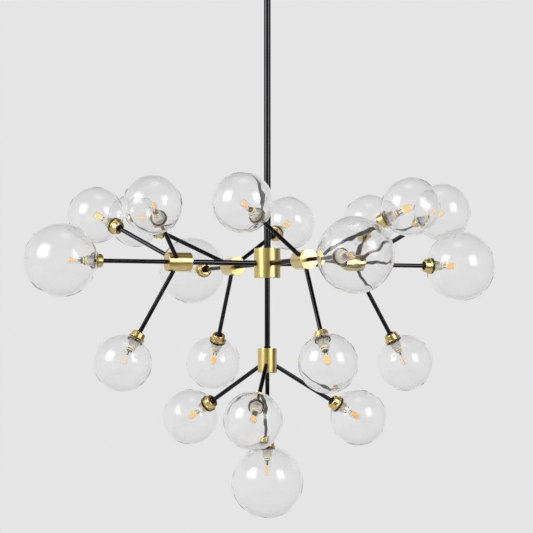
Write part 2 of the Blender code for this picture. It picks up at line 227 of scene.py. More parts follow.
# Room
ceiling_to_floor = 2.6
floor_radius = 3.4
floor_fade_start = 1.2
floor_colour = (0.80, 0.80, 0.80)
floor_speckle_colour = (0.77, 0.77, 0.77)
floor_speckles = 40.0  # per metre
backdrop_level = 0.7835
fill_level = 0.36  # the room's light on rough surfaces

# How bright each side of the room is in reflections, as a share of the backdrop
ceiling_shade = 0.45
left_shade = 0.75
right_shade = 0.08
front_shade = 0.45

# Where each shade starts and ends, in the part of a direction that points up, to the camera or right
ceiling_fade = (0.30, 0.75)
front_fade = (0.0, 0.9)
side_fade = (-0.5, 0.5)
behind_fade = (-0.92, -0.6)

# Soft boxes, whose turns and rises are in degrees
lamps = {
    "left_soft_box": dict(turn=-56, rise=21, width=2.30, height=2.30, distance=2.6, radiance=7.8),
    "right_soft_box": dict(turn=47, rise=16, width=1.75, height=2.20, distance=2.6, radiance=7.6),
    "top_soft_box": dict(turn=10, rise=78, width=1.2, height=1.2, distance=2.0, radiance=2.0),
}
core_share = 0.14  # how far from its middle a lamp starts to fade, as a share of its size

# Light paths
glass_bounces = 40
mirror_bounces = 10


# Places that the frame gives


def middle(node):
    low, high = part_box(node)
    return (low + high) / 2


def extent(node):
    low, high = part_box(node)
    return high - low


def towards(direction, side):
    """Turns local +Z to direction, with local +X as near to side as it can be."""
    z_axis = Vector(direction).normalized()
    y_axis = z_axis.cross(Vector(side)).normalized()
    x_axis = y_axis.cross(z_axis)
    return Matrix((x_axis, y_axis, z_axis)).transposed().to_4x4()


def splayed_direction(index):
    """The line of a splayed arm in its hub's frame, where +Z is the outward arm."""
    turn = 2 * pi * index / splayed_arms
    return Vector((sin(splay_angle) * cos(turn), sin(splay_angle) * sin(turn), cos(splay_angle)))


upper_centre = middle("upper_hub")
upper_hub_diameter = extent("upper_hub").x
upper_hub_height = extent("upper_hub").z
cluster_hub_diameter = extent("hub_lower").x
cluster_hub_length = extent("hub_lower").z
pin_centre = middle("hanger_pin")
canopy_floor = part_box("canopy")[0].z
canopy_diameter = extent("canopy").x


def cluster_frame(name):
    """A cluster's hub centre, with +Z outwards."""
    centre = middle(f"hub_{name}")
    outwards = centre - upper_centre
    side = (1, 0, 0) if name == "lower" else (0, 0, -1)
    return Matrix.Translation(centre) @ towards(outwards, side)


# Outlines, as lists of (radius, height)


def steps_between(start, end, steps=ARC_STEPS):
    """Even steps from one value to another, with both of them."""
    return [start + (end - start) * i / steps for i in range(steps + 1)]


def arc(centre, radius, start, end, steps=ARC_STEPS):
    turns = steps_between(start, end, steps)
    return [(centre[0] + radius * cos(t), centre[1] + radius * sin(t)) for t in turns]


def rod(diameter, start, end):
    return [(0, start), (diameter / 2, start), (diameter / 2, end), (0, end)]


def sleeve(inner, outer, start, end):
    return [(inner / 2, start), (outer / 2, start), (outer / 2, end), (inner / 2, end)]


# Shapes


def turned(outline, facets, rounding=0.0):
    """Spins an outline about Z and rounds the rings where it turns sharply.

    The outline is open where both its ends lie on the axis, and closed into a ring otherwise.
    """
    bm = bmesh.new()
    points = [bm.verts.new((radius, 0, height)) for radius, height in outline]
    edges = [bm.edges.new(pair) for pair in zip(points, points[1:])]
    if outline[0][0] > 0:
        edges.append(bm.edges.new((points[-1], points[0])))
    bmesh.ops.spin(
        bm, geom=points + edges, cent=(0, 0, 0), axis=(0, 0, 1), angle=2 * pi, steps=facets, use_merge=True
    )
    clean(bm)
    if rounding:
        round_edges(bm, rounding)
    return bm


def clean(bm):
    bmesh.ops.remove_doubles(bm, verts=bm.verts, dist=WELD)
    bmesh.ops.recalc_face_normals(bm, faces=bm.faces)


def round_edges(bm, rounding, segments=EDGE_SEGMENTS):
    sharp = [edge for edge in bm.edges if edge.calc_face_angle(0) > SHARP]
    bmesh.ops.bevel(
        bm, geom=sharp, offset=rounding, offset_type="OFFSET", affect="EDGES", segments=segments,
        profile=0.5, material=-1, clamp_overlap=True,
    )


def slab(outline, thickness):
    """Extrudes a flat outline of (x, y) points along Z, centred on its plane."""
    bm = bmesh.new()
    face = bm.faces.new([bm.verts.new((x, y, -thickness / 2)) for x, y in outline])
    top = bmesh.ops.extrude_face_region(bm, geom=[face])["geom"]
    moved = [item for item in top if isinstance(item, bmesh.types.BMVert)]
    bmesh.ops.translate(bm, verts=moved, vec=(0, 0, thickness))
    clean(bm)
    return bm


def block(width, depth, height, rounding):
    """A rounded block with its bottom face on the origin's plane."""
    bm = bmesh.new()
    bmesh.ops.create_cube(bm, size=1.0)
    bmesh.ops.scale(bm, vec=(width, depth, height), verts=bm.verts)
    bmesh.ops.translate(bm, vec=(0, 0, height / 2), verts=bm.verts)
    round_edges(bm, rounding)
    return bm


def temporary(bm, matrix=Matrix()):
    mesh = bpy.data.meshes.new("temporary")
    bm.to_mesh(mesh)
    bm.free()
    mesh.transform(matrix)
    obj = bpy.data.objects.new("temporary", mesh)
    bpy.context.scene.collection.objects.link(obj)
    return obj


def combined(bm, tools):
    """Applies exact Booleans to a shape. Each tool is its operation, its own shape and its place."""
    body = temporary(bm)
    helpers = [body]
    for operation, tool_bm, matrix in tools:
        tool = temporary(tool_bm, matrix)
        helpers.append(tool)
        modifier = body.modifiers.new(operation, "BOOLEAN")
        modifier.operation = operation
        modifier.solver = "EXACT"
        modifier.object = tool
    evaluated = body.evaluated_get(bpy.context.evaluated_depsgraph_get())
    result = bmesh.new()
    result.from_mesh(evaluated.to_mesh())
    evaluated.to_mesh_clear()
    for helper in helpers:
        mesh = helper.data
        bpy.data.objects.remove(helper)
        bpy.data.meshes.remove(mesh)
    clean(result)
    return result


# Nodes of materials


def add_node(tree, kind, values=None, **options):
    """Adds a node, sets its options, and sets or links its inputs."""
    node = tree.nodes.new(kind)
    for key, value in options.items():
        setattr(node, key, value)
    for key, value in (values or {}).items():
        if isinstance(value, bpy.types.NodeSocket):
            tree.links.new(value, node.inputs[key])
        else:
            node.inputs[key].default_value = value
    return node


def separated(tree, vector):
    """The X, Y and Z of a vector."""
    return add_node(tree, "ShaderNodeSeparateXYZ", {"Vector": vector}).outputs


def noise(tree, vector, scale, detail=2.0):
    values = {"Vector": vector, "Scale": scale, "Detail": detail}
    return add_node(tree, "ShaderNodeTexNoise", values).outputs[0]


def spread(tree, value, low, high, start=0.0, end=1.0, smooth=False):
    """Maps a value that runs from start to end onto low to high."""
    values = {"Value": value, "From Min": start, "From Max": end, "To Min": low, "To Max": high}
    kind = "SMOOTHSTEP" if smooth else "LINEAR"
    return add_node(tree, "ShaderNodeMapRange", values, interpolation_type=kind).outputs[0]


def maths(tree, operation, first, second=0.0):
    return add_node(tree, "ShaderNodeMath", {0: first, 1: second}, operation=operation).outputs[0]


def distance_from_line(tree, place):
    """How far a point lies from its piece's own line."""
    squares = [maths(tree, "MULTIPLY", part, part) for part in place[:2]]
    return maths(tree, "SQRT", maths(tree, "ADD", *squares))


def opaque(colour):
    return colour if isinstance(colour, bpy.types.NodeSocket) else (*colour, 1.0)


def blended(tree, share, first, second):
    """A colour between two, by a share from 0 to 1. Each is a plain colour or comes from a node."""
    values = {"Factor": share, 6: opaque(first), 7: opaque(second)}
    return add_node(tree, "ShaderNodeMix", values, data_type="RGBA").outputs[2]


def new_group(name, inputs, outputs):
    """A shader node group with named sockets, and its input and output nodes."""
    group = bpy.data.node_groups.new(name, "ShaderNodeTree")
    for socket, kind in inputs.items():
        group.interface.new_socket(socket, in_out="INPUT", socket_type=kind)
    for socket, kind in outputs.items():
        group.interface.new_socket(socket, in_out="OUTPUT", socket_type=kind)
    return group, group.nodes.new("NodeGroupInput"), group.nodes.new("NodeGroupOutput")


def turning_marks_group():
    """Fine rings from a lathe round a piece's own line, and broad cloudy patches from handling."""
    inputs = {
        "Place": "NodeSocketVector",
        "Rings per metre": "NodeSocketFloat",
        "Clouds per metre": "NodeSocketFloat",
    }
    outputs = {"Rings": "NodeSocketFloat", "Clouds": "NodeSocketFloat"}
    group, given, result = new_group("turning_marks", inputs, outputs)
    place, rings_per_metre, clouds_per_metre = [given.outputs[name] for name in inputs]
    parts = separated(group, place)
    across = maths(group, "MULTIPLY", distance_from_line(group, parts), rings_per_metre)
    along = maths(group, "MULTIPLY", parts[2], rings_per_metre)
    waver = maths(group, "MULTIPLY", parts[0], ring_waver)
    line = add_node(group, "ShaderNodeCombineXYZ", {"X": across, "Y": along, "Z": waver}).outputs[0]
    group.links.new(noise(group, line, scale=1.0, detail=3.0), result.inputs["Rings"])
    group.links.new(noise(group, place, clouds_per_metre), result.inputs["Clouds"])
    return group


def coat_skin_group():
    """The soft ripple of a sprayed or cast skin, and its broad unevenness."""
    inputs = {"Place": "NodeSocketVector", "Ripples per metre": "NodeSocketFloat"}
    outputs = {"Ripple": "NodeSocketFloat", "Unevenness": "NodeSocketFloat"}
    group, given, result = new_group("coat_skin", inputs, outputs)
    place, ripples_per_metre = [given.outputs[name] for name in inputs]
    patches_per_metre = maths(group, "MULTIPLY", ripples_per_metre, unevenness_share)
    group.links.new(noise(group, place, ripples_per_metre, detail=1.0), result.inputs["Ripple"])
    group.links.new(noise(group, place, patches_per_metre, detail=3.0), result.inputs["Unevenness"])
    return group


TURNING_MARKS = turning_marks_group()
COAT_SKIN = coat_skin_group()


def new_material(name, values):
    material = bpy.data.materials.new(name)
    material.use_nodes = True
    shader = material.node_tree.nodes["Principled BSDF"]
    for socket, value in values.items():
        shader.inputs[socket].default_value = value
    return material, material.node_tree, shader


def own_place(tree):
    """Where a point lies in the piece's own frame, before the piece was put in place."""
    return add_node(tree, "ShaderNodeAttribute", attribute_name="own_place").outputs["Vector"]


def object_place(tree):
    return add_node(tree, "ShaderNodeTexCoord").outputs["Object"]


def bump(tree, height, strength, distance):
    values = {"Height": height, "Strength": strength, "Distance": distance}
    return add_node(tree, "ShaderNodeBump", values).outputs[0]


def show_mixed(tree, share, first, second):
    """Shows two shaders as one, by a share from 0 to 1."""
    mixed = add_node(tree, "ShaderNodeMixShader", {0: share, 1: first.outputs[0], 2: second.outputs[0]})
    tree.links.new(mixed.outputs[0], tree.nodes["Material Output"].inputs["Surface"])


def turned_metal(name, colour, patches, smoothest, roughest, rings, clouds, mark_depth, lacquer=0.0):
    """A metal finished on a lathe: its colour and gloss change with the marks. On the nickel, the darker
    colour of the marks is partly painted reflection.
    """
    coat = {"Metallic": 1.0, "Coat Weight": lacquer, "Coat Roughness": lacquer_roughness}
    material, tree, shader = new_material(name, coat)
    values = {"Place": own_place(tree), "Rings per metre": rings, "Clouds per metre": clouds}
    marks = add_node(tree, "ShaderNodeGroup", values, node_tree=TURNING_MARKS).outputs
    ring_part = maths(tree, "MULTIPLY", marks["Rings"], ring_share)
    cloud_part = maths(tree, "MULTIPLY", marks["Clouds"], 1.0 - ring_share)
    both = maths(tree, "ADD", ring_part, cloud_part)
    tree.links.new(blended(tree, both, colour, patches), shader.inputs["Base Color"])
    gloss = spread(tree, both, smoothest, roughest, noise_low, noise_high)
    tree.links.new(gloss, shader.inputs["Roughness"])
    tree.links.new(bump(tree, marks["Rings"], mark_strength, mark_depth), shader.inputs["Normal"])
    return material


def coated(name, colour, patches, smoothest, roughest, ripples, ripple_depth, values=None):
    """A painted, cast or plated skin with a soft ripple."""
    material, tree, shader = new_material(name, values or {})
    skin_values = {"Place": object_place(tree), "Ripples per metre": ripples}
    skin = add_node(tree, "ShaderNodeGroup", skin_values, node_tree=COAT_SKIN).outputs
    share = spread(tree, skin["Unevenness"], 0.0, 1.0, noise_low, noise_high)
    tree.links.new(blended(tree, share, colour, patches), shader.inputs["Base Color"])
    tree.links.new(spread(tree, share, smoothest, roughest), shader.inputs["Roughness"])
    tree.links.new(bump(tree, skin["Ripple"], ripple_strength, ripple_depth), shader.inputs["Normal"])
    return material


def clear(name, refraction, waves, wave_depth, wave_strength):
    """Clear glass with a slow wave in it. Lamps shine through it, so it throws no hard shadow."""
    colour = opaque(clear_colour)
    values = {"Base Color": colour, "Roughness": 0.0, "IOR": refraction, "Transmission Weight": 1.0}
    material, tree, shader = new_material(name, values)
    wave = noise(tree, own_place(tree), waves, detail=1.0)
    tree.links.new(bump(tree, wave, wave_strength, wave_depth), shader.inputs["Normal"])
    passing = add_node(tree, "ShaderNodeBsdfTransparent", {"Color": colour})
    to_lamps = add_node(tree, "ShaderNodeLightPath").outputs["Is Shadow Ray"]
    show_mixed(tree, to_lamps, shader, passing)
    return material


def ceramic_with_painted_shade():
    """Cream glaze, with a painted shade of dark brown in its groove and on its end."""
    material = coated(
        "cream_ceramic",
        colour=(0.76, 0.67, 0.45), patches=(0.64, 0.54, 0.33),
        smoothest=0.25, roughest=0.40,
        ripples=700.0, ripple_depth=0.0001,
    )
    tree = material.node_tree
    base_colour = tree.nodes["Principled BSDF"].inputs["Base Color"]
    glaze = base_colour.links[0].from_socket
    # Painted shade: dark brown near the bulb's line, in the groove and on the end, where shade falls
    radius = distance_from_line(tree, separated(tree, own_place(tree)))
    unshaded_share = spread(tree, radius, 0.0, 1.0, ceramic_painted_shade_radius, ceramic_unshaded_radius)
    tree.links.new(blended(tree, unshaded_share, ceramic_painted_shade, glaze), base_colour)
    return material


def light_strip():
    """The orange phosphor on a bulb's strip, and the bare white board at its foot. Both have a faint painted
    glow.
    """
    values = {"Roughness": 0.45, "Emission Strength": painted_glow_strength}
    material, tree, shader = new_material("orange_phosphor", values)
    place = own_place(tree)
    grain = noise(tree, place, phosphor_grains)
    phosphor = blended(tree, grain, phosphor_colour, phosphor_grain_colour)
    edge = strip_start + strip_bare_length
    bare = spread(tree, separated(tree, place)[2], 1.0, 0.0, edge - GAP / 2, edge + GAP / 2)
    colour = blended(tree, bare, phosphor, board_colour)
    tree.links.new(colour, shader.inputs["Base Color"])
    # Painted glow: the strip's colour, board included, also shines as light
    tree.links.new(colour, shader.inputs["Emission Color"])
    tree.links.new(bump(tree, grain, ripple_strength, phosphor_grain_height), shader.inputs["Normal"])
    return material


plated = {"Metallic": 1.0}
black_plated = {"Metallic": 1.0, "Specular Tint": (0.7, 0.7, 0.7, 1.0)}
dull = {"Specular IOR Level": 0.25}
MATERIALS = {
    "brass": turned_metal(
        "satin_brass",
        colour=(0.86, 0.655, 0.23), patches=(0.82, 0.595, 0.19),
        smoothest=0.275, roughest=0.315,
        rings=2600.0, clouds=70.0, mark_depth=0.00002,
        lacquer=1.0,
    ),
    # The nickel's darker patches are partly lathe marks and partly painted reflection: dark rings and patches
    # that stand in for dark surroundings reflected in the lampholder and clamp ring
    "nickel": turned_metal(
        "bright_nickel",
        colour=(0.96, 0.95, 0.92), patches=(0.70, 0.66, 0.59),
        smoothest=0.05, roughest=0.14,
        rings=900.0, clouds=260.0, mark_depth=0.00003,
    ),
    "black": coated(
        "black_gloss",
        colour=(0.028, 0.028, 0.030), patches=(0.038, 0.037, 0.039),
        smoothest=0.06, roughest=0.11,
        ripples=120.0, ripple_depth=0.00001,
        values=black_plated,
    ),
    "steel": coated(
        "zinc_plate",
        colour=(0.58, 0.58, 0.60), patches=(0.46, 0.46, 0.49),
        smoothest=0.28, roughest=0.42,
        ripples=300.0, ripple_depth=0.0001,
        values=plated,
    ),
    "ceramic": ceramic_with_painted_shade(),
    # Black rubber for the seal, which also serves as a painted dark reflection at the clamp ring's edge
    "rubber": coated(
        "black_rubber",
        colour=(0.010, 0.010, 0.010), patches=(0.018, 0.017, 0.016),
        smoothest=0.45, roughest=0.60,
        ripples=900.0, ripple_depth=0.0001,
        values=dull,
    ),
    "wire": coated(
        "dark_wire",
        colour=(0.015, 0.013, 0.012), patches=(0.008, 0.008, 0.008),
        smoothest=0.30, roughest=0.40,
        ripples=900.0, ripple_depth=0.00005,
        values=dull,
    ),
    "strip": light_strip(),
    "glass": clear("clear_glass", refraction=1.50, waves=34.0, wave_depth=0.0020, wave_strength=0.24),
    "capsule": clear("clear_capsule", refraction=1.45, waves=60.0, wave_depth=0.0003, wave_strength=0.15),
}


# Pieces


def shape(name, bm, material, even_shading=True):
    """A mesh in its own frame, which keeps its own places for the patterns on it."""
    mesh = bpy.data.meshes.new(name)
    bm.to_mesh(mesh)
    bm.free()
    mesh.materials.append(MATERIALS[material])
    places = mesh.attributes.new("own_place", "FLOAT_VECTOR", "POINT")
    for vertex, place in zip(mesh.vertices, places.data):
        place.vector = vertex.co
    mesh.shade_smooth()
    mesh.set_sharp_from_angle(angle=SHARP)
    mesh["even_shading"] = even_shading
    return mesh


def add_piece(name, mesh, body, node, matrix=Matrix()):
    """Puts a copy of a mesh in place, on its body, where it stands for a node."""
    placed = mesh.copy()
    placed.name = name
    placed.transform(matrix)
    obj = bpy.data.objects.new(name, placed)
    bpy.context.scene.collection.objects.link(obj)
    if mesh["even_shading"]:
        modifier = obj.modifiers.new("even_shading", "WEIGHTED_NORMAL")
        modifier.keep_sharp = True
    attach(obj, body)
    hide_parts(node)


# Hubs


def drum(diameter, length):
    """A drum with its side in many rings, so that holes in it stay evenly shaded."""
    half = length / 2
    sides = [(diameter / 2, -half + length * i / drum_rings) for i in range(drum_rings + 1)]
    return turned([(0, -half)] + sides + [(0, half)], DRUM_FACETS, drum_rounding)


def hole(diameter, floor, surface, direction):
    """A cut for a socket, from the surface down to its floor, both from the hub's centre."""
    upright = Vector(direction).xy.length == 0
    side = (1, 0, 0) if upright else (0, 0, 1)
    cut = turned(rod(diameter + 2 * GAP, floor, surface + OVERRUN), TUBE_FACETS)
    return "DIFFERENCE", cut, towards(direction, side)


def cluster_hub_mesh():
    half = cluster_hub_length / 2
    slant = cluster_hub_diameter / 2 / sin(splay_angle) + arm_diameter / 2 / tan(splay_angle)
    cuts = [
        hole(tube_diameter, half - hub_socket_depth, half, (0, 0, -1)),
        hole(arm_diameter, arm_socket_floor, half, (0, 0, 1)),
    ]
    for index in range(splayed_arms):
        cuts.append(hole(arm_diameter, arm_socket_floor, slant, splayed_direction(index)))
    return shape("cluster_hub", combined(drum(cluster_hub_diameter, cluster_hub_length), cuts), "brass")


def upper_hub_mesh():
    half = upper_hub_height / 2
    radius = upper_hub_diameter / 2
    cuts = [
        hole(stem_diameter, half - hub_socket_depth, half, (0, 0, 1)),
        hole(tube_diameter, half - hub_socket_depth, half, (0, 0, -1)),
    ]
    for name in ("left", "back", "right", "front"):
        direction = middle(f"hub_{name}") - upper_centre
        cuts.append(hole(tube_diameter, radius - hub_socket_depth, radius, direction))
    return shape("upper_hub", combined(drum(upper_hub_diameter, upper_hub_height), cuts), "brass")


# Lights, round their arm's line: the origin is the hub's centre and +Z runs along the arm


def globe_centre(cup, diameter):
    """The globe's mouth rests on the front of the cup that starts at this distance from the hub."""
    return cup + cup_depth + GAP + sqrt((diameter / 2) ** 2 - (glass_mouth_diameter / 2) ** 2)


def globe_outline(cup, diameter):
    """A blown globe with a round mouth, from the outer pole over the rim to the inner pole."""
    centre = globe_centre(cup, diameter)

    def wall(radius):
        mouth = asin(glass_mouth_diameter / 2 / radius)
        turns = steps_between(mouth, pi, GLOBE_BANDS)[:-1]
        return [(radius * sin(t), centre - radius * cos(t)) for t in turns] + [(0, centre + radius)]

    return wall(diameter / 2)[::-1] + wall(diameter / 2 - glass_thickness)


def globe_mesh(kind, cup, diameter):
    bm = turned(globe_outline(cup, diameter), GLOBE_FACETS)
    round_edges(bm, glass_thickness / 4, segments=2)
    mesh = shape(f"{kind}_globe", bm, "glass", even_shading=False)
    centre = Vector((0, 0, globe_centre(cup, diameter)))
    between = (diameter - glass_thickness) / 2
    for vertex, place in zip(mesh.vertices, mesh.attributes["own_place"].data):
        if (vertex.co - centre).length < between:
            place.vector = vertex.co + centre  # so that the inner wall has waves of its own
    return mesh


def cup_outline(cup):
    """A cup with a hollow in its rounded back, a side that flares to a flange, and a shallow mouth."""
    back = cup_back_diameter / 2
    mouth = cup_mouth_diameter / 2
    flange = cup_flange_diameter / 2
    front = cup + cup_depth
    flange_back = front - cup_flange_thickness
    flare = [
        (mouth + (flange - mouth) * (1 - cos(t)), flange_back - cup_flare_length * (1 - sin(t)))
        for t in steps_between(0, pi / 2)
    ]
    rounded = arc((back - cup_back_rounding, cup + cup_back_rounding), cup_back_rounding, -pi / 2, 0)
    recess = cup_recess_diameter / 2
    socket = cup_socket_diameter / 2
    recess_floor = front - cup_recess_depth
    return (
        [(0, cup + cup_socket_depth), (socket, cup + cup_socket_depth), (socket, cup)]
        + rounded
        + flare
        + [(flange, front), (recess, front), (recess, recess_floor), (0, recess_floor)]
    )


def collar_nut_outline(cup):
    bore = arm_diameter / 2 + GAP / 2
    nut = collar_nut_diameter / 2
    lead = collar_nut_lead / 2
    end = cup + collar_nut_sunk
    start = end - collar_nut_length
    return [(bore, start), (lead, start), (nut, end - collar_nut_length / 2), (nut, end), (bore, end)]


def clamp_ring_back(cup, diameter):
    """Where the ring inside the globe starts, just clear of the glass round the mouth."""
    inner = diameter / 2 - glass_thickness
    ring = glass_mouth_diameter / 2 + clamp_ring_lap
    return globe_centre(cup, diameter) - sqrt(inner**2 - ring**2) + clamp_ring_clearance


def nipple_outline(start, end):
    """A threaded tube, its thread drawn as close rings."""
    crest = nipple_diameter / 2
    root = crest - nipple_thread_depth
    turns = int((end - start) / nipple_thread_pitch)
    thread = []
    for i in range(turns):
        foot = start + i * nipple_thread_pitch
        thread += [(root, foot), (crest, foot + nipple_thread_pitch / 2)]
    return [(0, start)] + thread + [(root, end), (0, end)]


def clamp_ring_outline(start):
    """A dished ring with a round bead at its edge and a step in the middle for the lampholder."""
    bore = nipple_diameter / 2 - GAP
    step = glass_mouth_diameter / 2 + clamp_ring_lap
    bead = clamp_ring_thickness / 2
    rim = arc((clamp_ring_diameter / 2 - bead, start + bead), bead, -pi / 2, pi, 2 * ARC_STEPS)
    face = start + clamp_ring_thickness
    return [(bore, start)] + rim + [(step, start + bead), (step, face), (bore, face)]


def seal_and_dark_edge_outline(start):
    """A black rubber edge round the clamp ring, which keeps it off the glass. It also stands in for the
    ring's dark edge reflection, as a painted reflection.
    """
    low = start - seal_and_dark_edge_lip
    bore = clamp_ring_diameter - clamp_ring_thickness
    return sleeve(bore, seal_and_dark_edge_diameter, low, low + seal_and_dark_edge_height)


def holder_outline(start):
    """A lampholder: a coarse thread, a plain neck with a bead, and a recess for the ceramic."""
    crest = holder_thread_diameter / 2
    root = crest - holder_thread_depth
    neck = holder_neck_diameter / 2
    low = start + GAP
    end = start + holder_length
    quarter = holder_thread_pitch / 4
    thread = []
    for i in range(holder_threads):
        foot = low + i * holder_thread_pitch
        thread += [(root, foot), (crest, foot + quarter)]
        thread += [(crest, foot + 2 * quarter), (root, foot + 3 * quarter)]
    top = low + holder_threads * holder_thread_pitch
    bead = arc((neck, end - holder_bead), holder_bead, -pi / 2, pi / 2)
    recess = ceramic_diameter / 2 + GAP / 2
    return (
        [(0, low)]
        + thread
        + [(root, top), (neck, top)]
        + bead
        + [(recess, end), (recess, end - holder_recess_depth), (0, end - holder_recess_depth)]
    )


def ceramic_outline(start):
    """The bulb's ceramic foot: two drums with a groove between, and a neck that the capsule fits over."""
    foot = ceramic_diameter / 2
    front = ceramic_front_diameter / 2
    groove = front - ceramic_groove_depth
    neck = ceramic_neck_diameter / 2
    low = start - holder_recess_depth + GAP
    end = start + ceramic_length
    shoulder = end - ceramic_neck_length
    split = start + ceramic_length / 2
    return [
        (0, low), (foot, low), (foot, split - ceramic_groove), (groove, split - ceramic_groove),
        (groove, split), (front, split), (front, shoulder), (neck, shoulder), (neck, end), (0, end),
    ]


def capsule_outline(start):
    """A thin clear capsule, open at its foot and rounded at its tip."""
    foot = start + ceramic_length - ceramic_neck_length + GAP
    tip = start + bulb_length

    def wall(inset):
        radius = capsule_diameter / 2 - inset
        height = capsule_tip_height - inset
        top = tip - inset
        turns = steps_between(0, pi / 2)[:-1]
        dome = [(radius * cos(t), top - height + height * sin(t)) for t in turns]
        return [(radius, foot)] + dome + [(0, top)]

    return wall(0)[::-1] + wall(capsule_wall)


def wires_mesh(kind, start):
    """The two stiff wires from the ceramic foot to the strip."""
    bm = bmesh.new()
    low = start + ceramic_length - GAP
    high = start + strip_start + wire_lap
    for side in (-1, 1):
        where = Matrix.Translation((side * wire_spacing / 2, 0, (low + high) / 2))
        bmesh.ops.create_cone(
            bm, cap_ends=True, segments=WIRE_FACETS, radius1=wire_diameter / 2, radius2=wire_diameter / 2,
            depth=high - low, matrix=where,
        )
    return shape(f"{kind}_wires", bm, "wire")


def strip_mesh(kind, start):
    """The bulb's flat strip. Its own places count from the lampholder's end, as light_strip takes them."""
    bm = block(strip_width, strip_thickness, strip_length, strip_rounding)
    bmesh.ops.translate(bm, vec=(0, 0, strip_start), verts=bm.verts)
    mesh = shape(f"{kind}_strip", bm, "strip")
    mesh.transform(Matrix.Translation((0, 0, start)))
    return mesh


def light_meshes(kind, cup, diameter):
    """Every mesh of one kind of light, with its material slot in the record."""
    ring_back = clamp_ring_back(cup, diameter)
    ring_front = ring_back + clamp_ring_thickness
    holder_end = ring_front + holder_length
    arm = rod(arm_diameter, arm_socket_floor + GAP, cup + collar_nut_sunk)
    nipple = nipple_outline(cup + cup_depth - nipple_sunk, ring_back)
    turned_parts = {
        "arm_tube": (arm, TUBE_FACETS, GAP, "black", "black_metal"),
        "collar_nut": (collar_nut_outline(cup), SMALL_FACETS, collar_nut_rounding, "black", "black_metal"),
        "cup": (cup_outline(cup), CUP_FACETS, cup_rounding, "brass", "brass"),
        "nipple": (nipple, SMALL_FACETS, 0.0, "steel", "steel"),
        "clamp_ring": (clamp_ring_outline(ring_back), CUP_FACETS, clamp_ring_rounding, "nickel", "steel"),
        # the seal is also a painted dark reflection round the clamp ring
        "seal_and_dark_edge": (seal_and_dark_edge_outline(ring_back), CUP_FACETS, GAP, "rubber", None),
        "lampholder": (holder_outline(ring_front), SMALL_FACETS, holder_rounding, "nickel", "steel"),
        "bulb_foot": (ceramic_outline(holder_end), SMALL_FACETS, ceramic_rounding, "ceramic", None),
    }
    meshes = {}
    for part, (outline, facets, rounding, material, slot) in turned_parts.items():
        meshes[part] = (shape(f"{kind}_{part}", turned(outline, facets, rounding), material), slot)
    capsule = turned(capsule_outline(holder_end), SMALL_FACETS)
    meshes["bulb_wires"] = (wires_mesh(kind, holder_end), None)
    meshes["bulb_strip"] = (strip_mesh(kind, holder_end), None)
    meshes["bulb_capsule"] = (shape(f"{kind}_capsule", capsule, "capsule", even_shading=False), "clear_glass")
    meshes["glass"] = (globe_mesh(kind, cup, diameter), "clear_glass")
    return meshes


def facing_camera(matrix, offset):
    """A turn about a light's line that faces local Y to the photograph's camera, plus an offset."""
    seen_from = matrix.inverted().to_3x3() @ (camera_place() - matrix.translation)
    return Matrix.Rotation(atan2(seen_from.y, seen_from.x) - pi / 2 + offset, 4, "Z")


def add_light(name, meshes, matrix):
    bulb_matrix = matrix @ facing_camera(matrix, radians(strip_turns[name]))
    for part, (mesh, slot) in meshes.items():
        node = f"globe_{name}" if part == "glass" else f"arm_{name}"
        where = bulb_matrix if part.startswith("bulb") else matrix
        add_piece(f"{part}_{name}", mesh, "chandelier", node, where)


def add_clusters():
    hub = cluster_hub_mesh()
    end_light = light_meshes("end", end_cup, end_globe_diameter)
    splayed_light = light_meshes("splayed", splayed_cup, splayed_globe_diameter)
    for name, arms in splayed_names.items():
        where = cluster_frame(name)
        add_piece(f"cluster_hub_{name}", hub, "chandelier", f"hub_{name}", where)
        add_light(f"{name}_end", end_light, where)
        for index, arm in enumerate(arms):
            turn = towards(splayed_direction(index), (0, 0, 1))
            add_light(f"{name}_{arm}", splayed_light, where @ turn)


# Stem and tubes


def add_black_piece(name, outline, facets, node, matrix=Matrix()):
    """A turned black piece of the chandelier, its edges just broken."""
    mesh = shape(name, turned(outline, facets, GAP), "black")
    add_piece(name, mesh, "chandelier", node, matrix)


def add_tubes():
    where = Matrix.Translation(upper_centre)
    add_piece("hub_drum_upper", upper_hub_mesh(), "chandelier", "upper_hub", where)
    for node, diameter in (("stem", stem_diameter), ("lower_tube", tube_diameter)):
        low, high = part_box(node)
        add_black_piece(f"{node}_tube", rod(diameter, low.z, high.z), TUBE_FACETS, node)
    start = upper_hub_diameter / 2 - hub_socket_depth + GAP
    for name in ("left", "back", "right", "front"):
        node = f"level_tube_{name}"
        outline = rod(tube_diameter, start, start + max(extent(node)))
        turn = towards(middle(f"hub_{name}") - upper_centre, (0, 0, -1))
        add_black_piece(f"{node}_black", outline, TUBE_FACETS, node, where @ turn)
    low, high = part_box("lower_lock_nut")
    nut = sleeve(tube_diameter + GAP, high.x - low.x, low.z, high.z)
    add_black_piece("lock_nut_black", nut, SMALL_FACETS, "lower_lock_nut")


# Canopy and hanger

ACROSS = towards((1, 0, 0), (0, 1, 0))  # local +Z along the pin, and local +Y up


def dish(radius, corner, floor):
    """The canopy's round corner and its side up to the rim, from the middle outwards."""
    bend = arc((radius - corner, floor + corner), corner, -pi / 2, 0, 2 * ARC_STEPS)
    return bend + [(radius, -canopy_rim_gap)]


